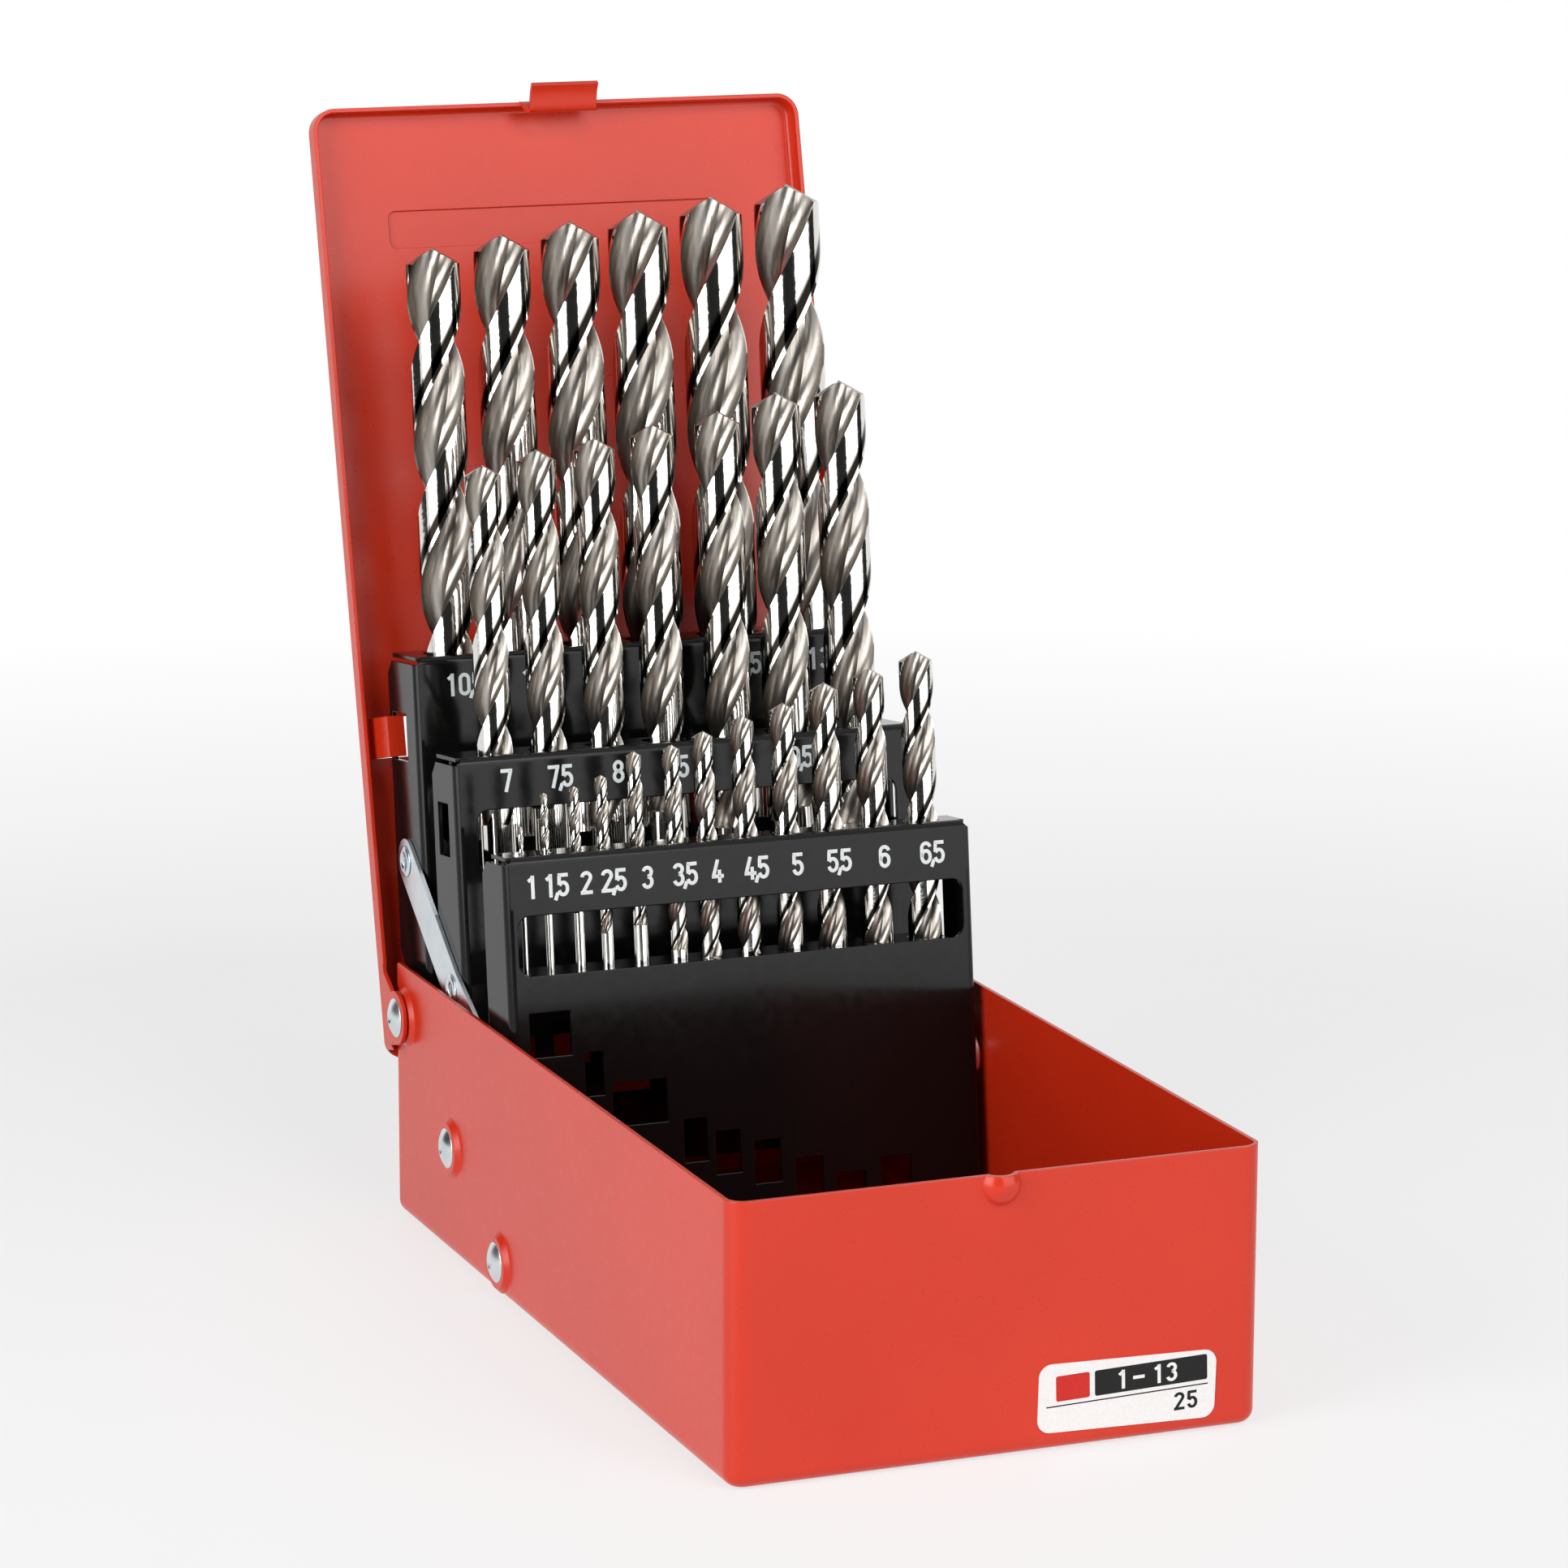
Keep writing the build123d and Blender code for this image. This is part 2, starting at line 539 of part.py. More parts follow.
def twist_drill(diameter):
    """A jobber drill with its shank's end on z = 0 and its point up."""
    length, flutes = JOBBER[diameter]
    radius = diameter / 2
    face = drill_section(radius).faces()[0]
    turn = 360 * flutes * math.tan(math.radians(HELIX)) / (math.pi * diameter)
    fluted = Solid.extrude_linear_with_rotation(
        face.outer_wire(), (0, 0, 0), (0, 0, flutes), turn
    )
    at_root = LAND_AT_POINT - LAND_IN_SECTION - turn
    fluted = Pos(0, 0, length - flutes) * Rot(0, 0, at_root) * fluted
    base = (Align.CENTER, Align.CENTER, Align.MIN)
    wide = radius + 1
    shoulder = length - wide / math.tan(math.radians(POINT_ANGLE / 2))
    outline = Polyline((0, 0), (wide, 0), (wide, shoulder), (0, length), close=True)
    envelope = revolve(Plane.XZ * make_face(outline.edges()), Axis.Z)
    shank = Cylinder(radius, length - flutes, align=base)
    shank = chamfer(shank.edges().group_by(Axis.Z)[0], SHANK_CHAMFER * diameter)
    return (fluted & envelope) + shank


def drill_in(rack, diameter, x, stop):
    drill = Pos(x, rack["drill_line"], stop) * twist_drill(diameter)
    return placed(drill, rack["pin"], RACK_LEAN)


# ---- pins, spacers, links and eyelets -----------------------------------------------
def rivet(side, seat):
    """A rivet about X: domed head outside its seat, set tail inside the rack's cheek."""
    head_x = seat + SIDE_PLAY
    tail_x = CHEEK_IN - SIDE_PLAY
    shank = along_x(PIN_RADIUS, tail_x, head_x)
    crown = head_x + HEAD_HEIGHT
    below = HEAD_DOME - HEAD_HEIGHT
    halfway = math.sqrt(HEAD_DOME**2 - HEAD_RADIUS**2 / 4) - below
    shoulder = (head_x + halfway, HEAD_RADIUS / 2)
    outline = [
        ThreePointArc((crown, 0), shoulder, (head_x, HEAD_RADIUS)),
        Line((head_x, HEAD_RADIUS), (head_x, 0)),
        Line((head_x, 0), (crown, 0)),
    ]
    head = revolve(make_face(outline), Axis.X)
    tail = along_x(TAIL_RADIUS, tail_x - TAIL_HEIGHT, tail_x)
    whole = shank + head + tail
    if side < 0:
        whole = mirror(whole, about=Plane.YZ)
    return whole


def rivet_pair(rack, seat):
    return Compound(children=[placed(rivet(side, seat), rack["pin"], 0) for side in (-1, 1)])


def spacers():
    """Six washers that fill the room between the racks' cheeks and the bosses."""
    rings = []
    for rack in (REAR_RACK, MIDDLE_RACK, FRONT_RACK):
        for side in (-1, 1):
            inside = side * (RACK_HALF_WIDTH + SIDE_PLAY)
            ring = along_x(SPACER_RADIUS, inside, side * BOSS_IN)
            ring -= along_x(PIN_RADIUS, inside, side * BOSS_IN)
            rings.append(placed(ring, rack["pin"], 0))
    return Compound(children=rings)


def eyelet_point(rack):
    """Where the rack's eyelet stands, as (y, z)."""
    lean = math.radians(RACK_LEAN)
    y = REAR_FACE - rack["pin"][0] + CRANK_BEHIND * math.cos(lean) + CRANK_UP * math.sin(lean)
    z = rack["pin"][1] - CRANK_BEHIND * math.sin(lean) + CRANK_UP * math.cos(lean)
    return y, z


def link_bar(side):
    """A flat bar with two legs, one between each pair of neighbouring eyelets."""
    points = [eyelet_point(rack) for rack in (REAR_RACK, MIDDLE_RACK, FRONT_RACK)]
    bar = None
    for start, end in zip(points, points[1:]):
        slot = SlotCenterPoint(
            ((start[0] + end[0]) / 2, (start[1] + end[1]) / 2), end, LINK_WIDTH
        )
        bar = slot if bar is None else bar + slot
    plane = Plane((side * LINK_IN, 0, 0), x_dir=(0, 1, 0), z_dir=(1, 0, 0))
    solid = plane * extrude(bar, amount=side * SHEET)
    for y, z in points:
        solid -= along_x(EYELET_RADIUS + PIN_PLAY, side * (LINK_IN - 1), side * (LINK_OUT + 1), y, z)
    return solid


def eyelet(side):
    """A tubular rivet about X, set in the cheek, with its head over the link."""
    head_in = LINK_OUT + SIDE_PLAY
    barrel = along_x(EYELET_RADIUS, CHEEK_IN, head_in)
    head = along_x(EYELET_HEAD_RADIUS, head_in, head_in + EYELET_HEAD)
    roll = along_x(EYELET_HEAD_RADIUS, CHEEK_IN - EYELET_HEAD, CHEEK_IN)
    whole = barrel + head + roll
    whole -= along_x(EYELET_BORE, CHEEK_IN - 2, head_in + 2)
    if side < 0:
        whole = mirror(whole, about=Plane.YZ)
    return whole


def eyelet_pair(rack):
    y, z = eyelet_point(rack)
    return Compound(children=[Pos(0, y, z) * eyelet(side) for side in (-1, 1)])


# ---- the case -----------------------------------------------------------------------
def parts():
    nodes = {
        "tray": tray(),
        "label": label(),
        "lid": lid(),
        "rear_rack": rack_body(REAR_RACK),
        "middle_rack": rack_body(MIDDLE_RACK),
        "front_rack": rack_body(FRONT_RACK),
        "left_link": link_bar(-1),
        "right_link": link_bar(1),
        "hinge_rivets": rivet_pair(REAR_RACK, EAR_OUT),
        "middle_pivot_rivets": rivet_pair(MIDDLE_RACK, BOSS_OUT - SIDE_PLAY),
        "front_pivot_rivets": rivet_pair(FRONT_RACK, BOSS_OUT - SIDE_PLAY),
        "pivot_spacers": spacers(),
        "rear_eyelets": eyelet_pair(REAR_RACK),
        "middle_eyelets": eyelet_pair(MIDDLE_RACK),
        "front_eyelets": eyelet_pair(FRONT_RACK),
    }
    for rack in (FRONT_RACK, MIDDLE_RACK, REAR_RACK):
        for diameter, x, stop in rack["drills"]:
            name = "drill_" + f"{diameter:.1f}".replace(".", "_")
            nodes[name] = drill_in(rack, diameter, x, stop)
    return nodes


os.makedirs("parts", exist_ok=True)
for node, shape in parts().items():
    export_step(shape, "parts/" + node + ".step")
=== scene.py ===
# %% [markdown]
# # A folding drill bit case
#
# A red pressed-steel tray with a lid hinged at its back, three black racks that stand in
# steps, and 25 ground twist drills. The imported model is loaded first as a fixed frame: it
# holds every piece at its real size and place. Blender adds the finish of each surface, the
# domed rivets and rolled eyelets, the sizes printed on the racks and the print on the label.

# %% Load the frame
import json
import math
from collections import namedtuple
from functools import partial

import bpy
from mathutils import Matrix, Vector


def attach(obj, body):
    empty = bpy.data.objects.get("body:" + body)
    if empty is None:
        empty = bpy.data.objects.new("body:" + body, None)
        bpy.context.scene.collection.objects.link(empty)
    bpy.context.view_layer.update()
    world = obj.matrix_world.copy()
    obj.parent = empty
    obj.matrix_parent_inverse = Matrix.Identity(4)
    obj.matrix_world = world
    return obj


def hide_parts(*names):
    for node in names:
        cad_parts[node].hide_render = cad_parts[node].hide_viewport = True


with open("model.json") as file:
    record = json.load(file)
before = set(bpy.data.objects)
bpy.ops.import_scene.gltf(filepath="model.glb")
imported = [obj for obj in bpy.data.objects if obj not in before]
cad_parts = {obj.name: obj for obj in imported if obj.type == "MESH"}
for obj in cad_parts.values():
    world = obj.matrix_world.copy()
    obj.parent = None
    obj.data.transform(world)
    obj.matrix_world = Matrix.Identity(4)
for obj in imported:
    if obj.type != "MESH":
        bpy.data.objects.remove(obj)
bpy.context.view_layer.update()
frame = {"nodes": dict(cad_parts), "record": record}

# %% [markdown]
# ## Working in edit mode
#
# Each new piece starts as a primitive and is shaped by operators, as by hand. An operator
# acts on all that is selected, so everything is deselected before a piece is begun, and a
# finished piece has its place written into its mesh, so that its object sits at the origin.

# %% Small helpers for modelling
MM = 0.001


def fresh():
    """Leave nothing selected and no object in edit mode."""
    if bpy.context.object and bpy.context.object.mode != "OBJECT":
        bpy.ops.object.mode_set(mode="OBJECT")
    bpy.ops.object.select_all(action="DESELECT")


def only(piece):
    """Select one object and make it the active one."""
    fresh()
    piece.select_set(True)
    bpy.context.view_layer.objects.active = piece


def write_place(piece):
    """Write a piece's place, turn and scale into its mesh."""
    only(piece)
    bpy.ops.object.transform_apply(location=True, rotation=True, scale=True)


def dress(piece, material, smooth):
    """Finish a piece: its place in its mesh, smooth up to an angle in degrees, one material."""
    write_place(piece)
    bpy.ops.object.shade_smooth_by_angle(angle=math.radians(smooth))
    piece.data.materials.clear()
    piece.data.materials.append(material)


# %% [markdown]
# ## Finishes
#
# Five finishes cover the case: gloss red enamel on the tray and the lid, gloss black
# enamel on the racks, bright zinc on the links and rivets, ground steel on the drills, and
# the label's paper. Each could be an image wrapped round the piece. Here each is a noise read
# from the piece's own coordinates, which has no seam and stays sharp from near by.

# %% Node helpers
NOISE_SPAN = (0.3, 0.7)  # most of a noise's values lie in here


def new_material(name):
    """A new material with its node tree and its shader."""
    material = bpy.data.materials.new(name)
    material.use_nodes = True
    return material, material.node_tree, material.node_tree.nodes["Principled BSDF"]


def noise(tree, scale, detail, place=None):
    """A noise in cycles per metre, on Object coordinates unless another place is given."""
    texture = tree.nodes.new("ShaderNodeTexNoise")
    texture.inputs["Scale"].default_value = scale
    texture.inputs["Detail"].default_value = detail
    if place is None:
        place = tree.nodes.new("ShaderNodeTexCoord").outputs["Object"]
    tree.links.new(place, texture.inputs["Vector"])
    return texture.outputs["Fac"]


def ramp(tree, value, low, high, span=NOISE_SPAN):
    """Turn a value's run over a span into a run between two colours."""
    band = tree.nodes.new("ShaderNodeValToRGB")
    for stop, position, colour in zip(band.color_ramp.elements, span, (low, high)):
        stop.position = position
        stop.color = (*colour, 1)
    tree.links.new(value, band.inputs["Fac"])
    return band.outputs["Color"]


def between(tree, value, low, high, span=NOISE_SPAN, smooth=False):
    """Turn a value's run over a span into a run between two numbers."""
    node = tree.nodes.new("ShaderNodeMapRange")
    node.interpolation_type = "SMOOTHSTEP" if smooth else "LINEAR"
    for socket, number in zip(("From Min", "From Max", "To Min", "To Max"), (*span, low, high)):
        node.inputs[socket].default_value = number
    tree.links.new(value, node.inputs["Value"])
    return node.outputs["Result"]


# %% [markdown]
# ### Enamel
#
# Sprayed enamel is never quite flat, so a very low, wide noise bends its reflections, and a
# finer one varies its roughness. Paint also draws back to a soft edge wherever the sheet was
# cut. Modelling that edge would take a bevel along every cut of the fixed frame, so a Bevel
# node rounds the edges only as they are lit.

# %% Relief
BEVEL_SAMPLES = 8


def bump(tree, shader, height, strength, depth, edge=0.0):
    """Bend the shader's normal by a height, over edges that are softened by a radius."""
    node = tree.nodes.new("ShaderNodeBump")
    node.inputs["Strength"].default_value = strength
    node.inputs["Distance"].default_value = depth
    tree.links.new(height, node.inputs["Height"])
    if edge:
        bevel = tree.nodes.new("ShaderNodeBevel")
        bevel.samples = BEVEL_SAMPLES
        bevel.inputs["Radius"].default_value = edge
        tree.links.new(bevel.outputs["Normal"], node.inputs["Normal"])
    tree.links.new(node.outputs["Normal"], shader.inputs["Normal"])


# %% Enamel
def enamel(name, thin, thick, rough, sheen):
    """Sprayed enamel, from its colour where it is thin to its colour where it is thick."""
    material, tree, shader = new_material(name)
    wash = noise(tree, scale=22, detail=2.0)
    tree.links.new(ramp(tree, wash, thin, thick), shader.inputs["Base Color"])
    grain = noise(tree, scale=500, detail=4.0)
    tree.links.new(between(tree, grain, *rough), shader.inputs["Roughness"])
    shader.inputs["Specular IOR Level"].default_value = sheen
    wave = noise(tree, scale=90, detail=0.0)
    bump(tree, shader, wave, strength=0.06, depth=0.1 * MM, edge=0.3 * MM)
    return material


red_enamel = enamel(
    "red_enamel", thin=(0.60, 0.028, 0.006), thick=(0.65, 0.032, 0.008), rough=(0.27, 0.33), sheen=0.45
)
black_enamel = enamel(
    "black_enamel", thin=(0.004, 0.004, 0.004), thick=(0.006, 0.006, 0.006), rough=(0.10, 0.15), sheen=0.20
)
print("enamels", red_enamel.name, black_enamel.name)

# %% [markdown]
# ### Zinc, paper and ink
#
# The links, rivets and eyelets are plated, which leaves a bluish, slightly cloudy metal: one
# noise drives its tint and its roughness together, because a cloud in plating changes both.
# Paper and ink have only a fine fleck in their colour. Relief would be too small to see.

# %% Zinc and paper
def zinc_plate():
    """Bright, cloudy plating."""
    material, tree, shader = new_material("zinc_plate")
    cloud = noise(tree, scale=140, detail=4.0)
    tint = ramp(tree, cloud, (0.62, 0.70, 0.74), (0.80, 0.84, 0.86))
    tree.links.new(tint, shader.inputs["Base Color"])
    tree.links.new(between(tree, cloud, 0.20, 0.34), shader.inputs["Roughness"])
    shader.inputs["Metallic"].default_value = 1.0
    grain = noise(tree, scale=700, detail=3.0)
    bump(tree, shader, grain, strength=0.15, depth=0.04 * MM, edge=0.15 * MM)
    return material


def label_paper():
    """Coated paper with a faint fibre."""
    material, tree, shader = new_material("label_paper")
    fibre = noise(tree, scale=1500, detail=5.0)
    tint = ramp(tree, fibre, (0.80, 0.80, 0.79), (0.86, 0.86, 0.85))
    tree.links.new(tint, shader.inputs["Base Color"])
    shader.inputs["Roughness"].default_value = 0.4
    return material


zinc = zinc_plate()
paper = label_paper()
print("plate and paper", zinc.name, paper.name)

# %% Ink
INK_DULL = 0.85  # colour of the thinnest ink, as a share of the full one


def ink(name, colour):
    """Screen-printed ink, a little uneven where it was pressed through the mesh."""
    material, tree, shader = new_material(name)
    speck = noise(tree, scale=2500, detail=3.0)
    dull = tuple(INK_DULL * c for c in colour)
    tree.links.new(ramp(tree, speck, dull, colour), shader.inputs["Base Color"])
    shader.inputs["Roughness"].default_value = 0.45
    shader.inputs["Specular IOR Level"].default_value = 0.2
    return material


pale_ink = ink("pale_ink", (0.82, 0.88, 0.88))
black_ink = ink("black_ink", (0.012, 0.012, 0.012))
red_ink = ink("red_ink", (0.62, 0.03, 0.02))
print("inks", pale_ink.name, black_ink.name, red_ink.name)

# %% [markdown]
# ### Ground steel
#
# A twist drill shows two surfaces. Its lands are ground on the outside and mirror the room,
# with a narrow margin along the cutting edge. Its flutes are milled, darker and satin. The
# faces could be told apart one by one in each drill's mesh. One node group does it for all
# 25 instead: it measures each point from the drill's own axis, so a point at the full radius
# is land, and it unwinds the helix, so that a turn about the axis becomes a place across
# the land.

# %% Where the racks and the drills stand, in millimetres
RACK_LEAN = math.radians(6.5)
Rack = namedtuple("Rack", "pin_y pin_z face drill_line print_height drills")

# The plate's face and the line of the drills are measured behind the pin, and the printed
# sizes up from it. Each drill has its diameter, its x and the height of the tab it stands on.
RACKS = {
    "rear_rack": Rack(pin_y=83.45, pin_z=41.0, face=-8.1, drill_line=-0.1, print_height=65.2, drills=(
        (10.5, -37.35, 16.7), (11.0, -23.2, 9.8), (11.5, -9.0, 11.7), (12.0, 5.3, 4.3),
        (12.5, 20.7, 6.4), (13.0, 36.9, 8.2),
    )),
    "middle_rack": Rack(pin_y=56.05, pin_z=21.7, face=-4.9, drill_line=1.5, print_height=70.5, drills=(
        (7.0, -37.0, 21.6), (7.5, -26.1, 24.0), (8.0, -14.3, 17.6), (8.5, -2.3, 19.6),
        (9.0, 11.4, 13.4), (9.5, 23.6, 16.4), (10.0, 37.1, 10.0),
    )),
    "front_rack": Rack(pin_y=27.75, pin_z=6.9, face=-5.3, drill_line=-0.3, print_height=71.0, drills=(
        (1.0, -42.2, 48.0), (1.5, -37.3, 48.0), (2.0, -31.3, 39.8), (2.5, -25.8, 33.5),
        (3.0, -19.1, 33.5), (3.5, -11.5, 25.2), (4.0, -5.0, 22.3), (4.5, 3.0, 19.7),
        (5.0, 11.4, 15.5), (5.5, 19.95, 11.8), (6.0, 29.3, 13.9), (6.5, 39.25, 8.5),
    )),
}
# Length and flute length of a jobber drill, by its diameter.
JOBBER = {
    1.0: (34, 12), 1.5: (40, 18), 2.0: (49, 24), 2.5: (57, 30), 3.0: (61, 33),
    3.5: (70, 39), 4.0: (75, 43), 4.5: (80, 47), 5.0: (86, 52), 5.5: (93, 57),
    6.0: (93, 57), 6.5: (101, 63), 7.0: (109, 69), 7.5: (109, 69), 8.0: (117, 75),
    8.5: (117, 75), 9.0: (125, 81), 9.5: (125, 81), 10.0: (133, 87), 10.5: (133, 87),
    11.0: (142, 94), 11.5: (142, 94), 12.0: (151, 101), 12.5: (151, 101), 13.0: (151, 101),
}
print("drills", {name: len(rack.drills) for name, rack in RACKS.items()})


# %% Sums as nodes
def calc(tree, operation, *values):
    """One Math node on numbers or on the outputs of other nodes."""
    node = tree.nodes.new("ShaderNodeMath")
    node.operation = operation
    for socket, value in zip(node.inputs, values):
        if isinstance(value, (int, float)):
            socket.default_value = value
        else:
            tree.links.new(value, socket)
    return node.outputs[0]


# %% The drill's own coordinates as a node group
HELIX = math.radians(30)
LAND_AT_POINT = math.radians(6)  # middle of a land at the point, from +X
LAND_FROM = 0.955  # share of the radius where the flute gives way to the land
LAND_BLEND = 0.02  # share of the radius over which it does
STREAK_SHARE = 0.12  # how fast the streaks change along the drill, against round it


def drill_group():
    """Measure a point from its drill's own axis."""
    group = bpy.data.node_groups.new("drill_places", "ShaderNodeTree")
    for name in ("Centre X", "Pin Y", "Pin Z", "Behind", "Radius", "Point", "Flute Length"):
        group.interface.new_socket(name, in_out="INPUT", socket_type="NodeSocketFloat")
    for name, kind in (("Land", "Float"), ("Across", "Float"), ("Grain", "Vector")):
        group.interface.new_socket(name, in_out="OUTPUT", socket_type="NodeSocket" + kind)
    given = group.nodes.new("NodeGroupInput").outputs
    result = group.nodes.new("NodeGroupOutput").inputs
    place = group.nodes.new("ShaderNodeSeparateXYZ")
    group.links.new(group.nodes.new("ShaderNodeTexCoord").outputs["Object"], place.inputs[0])
    sum_of = partial(calc, group)

    # out from the drill's axis, and up along it from the rack's pin
    x = sum_of("SUBTRACT", place.outputs["X"], given["Centre X"])
    y = sum_of("SUBTRACT", place.outputs["Y"], given["Pin Y"])
    z = sum_of("SUBTRACT", place.outputs["Z"], given["Pin Z"])
    c, n = math.cos(RACK_LEAN), math.sin(RACK_LEAN)
    behind = sum_of("SUBTRACT", sum_of("MULTIPLY", y, c), sum_of("MULTIPLY", z, n))
    behind = sum_of("SUBTRACT", behind, given["Behind"])
    along = sum_of("ADD", sum_of("MULTIPLY", y, n), sum_of("MULTIPLY", z, c))
    out = sum_of("SQRT", sum_of("ADD", sum_of("MULTIPLY", x, x), sum_of("MULTIPLY", behind, behind)))

    # unwind the helix and fold the two lands onto one
    depth = sum_of("SUBTRACT", given["Point"], along)
    winding = sum_of("DIVIDE", sum_of("MULTIPLY", depth, math.tan(HELIX)), given["Radius"])
    turned = sum_of("ADD", sum_of("ARCTAN2", behind, x), winding)
    turned = sum_of("SUBTRACT", turned, LAND_AT_POINT)
    folded = sum_of("WRAP", turned, math.pi / 2, -math.pi / 2)

    # land at the full radius, and all of the shank, which has no place across a land
    shank = sum_of("GREATER_THAN", depth, given["Flute Length"])
    land = sum_of("SUBTRACT", sum_of("DIVIDE", out, given["Radius"]), LAND_FROM)
    land = sum_of("MINIMUM", sum_of("DIVIDE", land, LAND_BLEND), 1.0)
    land = sum_of("MAXIMUM", land, 0.0)
    group.links.new(sum_of("MAXIMUM", land, shank), result["Land"])
    group.links.new(sum_of("MULTIPLY", folded, sum_of("SUBTRACT", 1.0, shank)), result["Across"])

    # a place for the grinding streaks, alike in both flutes and drawn out along them
    twice = sum_of("MULTIPLY", turned, 2.0)
    right = sum_of("MULTIPLY", sum_of("COSINE", twice), given["Radius"])
    back = sum_of("MULTIPLY", sum_of("SINE", twice), given["Radius"])
    grain = group.nodes.new("ShaderNodeCombineXYZ")
    group.links.new(right, grain.inputs["X"])
    group.links.new(sum_of("ADD", back, out), grain.inputs["Y"])
    group.links.new(sum_of("MULTIPLY", along, STREAK_SHARE), grain.inputs["Z"])
    group.links.new(grain.outputs[0], result["Grain"])
    return group


drill_places = drill_group()
print("drill group nodes", len(drill_places.nodes))

# %% Mixing colours
# A Mix node holds sockets for every kind of data. These are the places of the colour ones.
MIX_SHARE, MIX_FIRST, MIX_SECOND, MIX_RESULT = 0, 6, 7, 2


def mixed(tree, share, first, second):
    """Blend from one colour to another by a share that varies over the surface."""
    node = tree.nodes.new("ShaderNodeMix")
    node.data_type = "RGBA"
    tree.links.new(share, node.inputs[MIX_SHARE])
    tree.links.new(first, node.inputs[MIX_FIRST])
    if isinstance(second, tuple):
        node.inputs[MIX_SECOND].default_value = (*second, 1)
    else:
        tree.links.new(second, node.inputs[MIX_SECOND])
    return node.outputs[MIX_RESULT]


# %% One steel for every drill, with that drill's own sizes in the group
LAND_HALF = math.radians(41)
MARGIN = math.radians(9)
MILLED = ((0.22, 0.195, 0.17), (0.48, 0.45, 0.41))
POLISHED = ((0.70, 0.68, 0.65), (0.80, 0.79, 0.76))
# Near-black colour painted on the land's step: a painted dark reflection, standing in for the dark that the
# real step mirrors.
PAINTED_STEP_SHADE = (0.010, 0.008, 0.006)
# The painted dark band on the step beside the margin comes in over the first span of the land and ends over
# the second, both in margins back from the cutting edge.
STEP_IN = (4.0, 2.6)
STEP_OUT = (1.05, 0.85)


def from_edge(margins):
    """Two places across the land, given in margins back from its cutting edge."""
    return tuple(LAND_HALF - share * MARGIN for share in margins)


def ground_steel(rack, diameter, x, stop):
    """Steel for one drill: polished lands with a painted dark reflection on their step, and milled flutes.
    """
    length, flutes = JOBBER[diameter]
    material, tree, shader = new_material(f"steel_{diameter:.1f}")
    places = tree.nodes.new("ShaderNodeGroup")
    places.node_tree = drill_places
    sizes = (x, rack.pin_y, rack.pin_z, rack.drill_line, diameter / 2, stop + length, flutes)
    for socket, value in zip(places.inputs, sizes):
        socket.default_value = value * MM
    land, across = places.outputs["Land"], places.outputs["Across"]

    streak = noise(tree, scale=420, detail=5.0, place=places.outputs["Grain"])
    milled = ramp(tree, streak, *MILLED, span=(0.28, 0.72))
    skin = mixed(tree, land, milled, ramp(tree, streak, *POLISHED))
    # painted dark reflection: a band across the land's step, mixed in near black over the polished skin
    begun = between(tree, across, 0.0, 1.0, span=from_edge(STEP_IN), smooth=True)
    not_ended = between(tree, across, 1.0, 0.0, span=from_edge(STEP_OUT), smooth=True)
    step = calc(tree, "MULTIPLY", calc(tree, "MULTIPLY", begun, not_ended), land)
    tree.links.new(mixed(tree, step, skin, PAINTED_STEP_SHADE), shader.inputs["Base Color"])

    tree.links.new(between(tree, land, 0.30, 0.09, span=(0.0, 1.0)), shader.inputs["Roughness"])
    shader.inputs["Metallic"].default_value = 1.0
    bump(tree, shader, streak, strength=0.10, depth=0.06 * MM)
    return material


# %% [markdown]
# ### Painting the frame
#
# The frame's record names a finish for each piece. No pressed sheet carries two, so nothing
# is painted face by face: a piece takes its finish as a whole, and a drill its own steel.

# %% Give every node its finish
finishes = {
    "red_enamel": red_enamel,
    "black_enamel": black_enamel,
    "zinc": zinc,
    "label_white": paper,
}
for rack in RACKS.values():
    for diameter, x, stop in rack.drills:
        node = "drill_" + f"{diameter:.1f}".replace(".", "_")
        finishes[node] = ground_steel(rack, diameter, x, stop)


def paint(node, material):
    """Give a CAD node its finish."""
    slots = frame["nodes"][node].material_slots
    for slot in slots:
        slot.material = material
    if not slots:
        frame["nodes"][node].data.materials.append(material)


for entry in frame["record"]["subparts"]:
    node = entry["node"]
    paint(node, finishes.get(node) or finishes[entry["material_slot"]])

# %% [markdown]
# ## Printed sizes
#
# The sizes are screen-printed in narrow engineer's numerals of one even stroke. A text
# object could set them, but its font is wider. So each digit is a few strokes, drawn as
# curves along the middle of the stroke and given the stroke's width as a bevel, and then
# pressed almost flat. Every digit is drawn once and copied into the numbers, and one rack's
# numbers are joined, so that they ride on it as one print.

# %% Digits as strokes, in millimetres from the foot of the digit
DIGIT_HALF = 0.85
DIGIT_TOP = 3.70
STROKE = 0.70
INK_FLAT = 0.06  # thickness of the ink, as a share of the stroke's width


def arc(centre, radii, start, end, steps=14):
    """Points of an elliptical arc between two angles in degrees."""
    angles = [math.radians(start + (end - start) * k / steps) for k in range(steps + 1)]
    return [(centre[0] + radii[0] * math.cos(a), centre[1] + radii[1] * math.sin(a)) for a in angles]


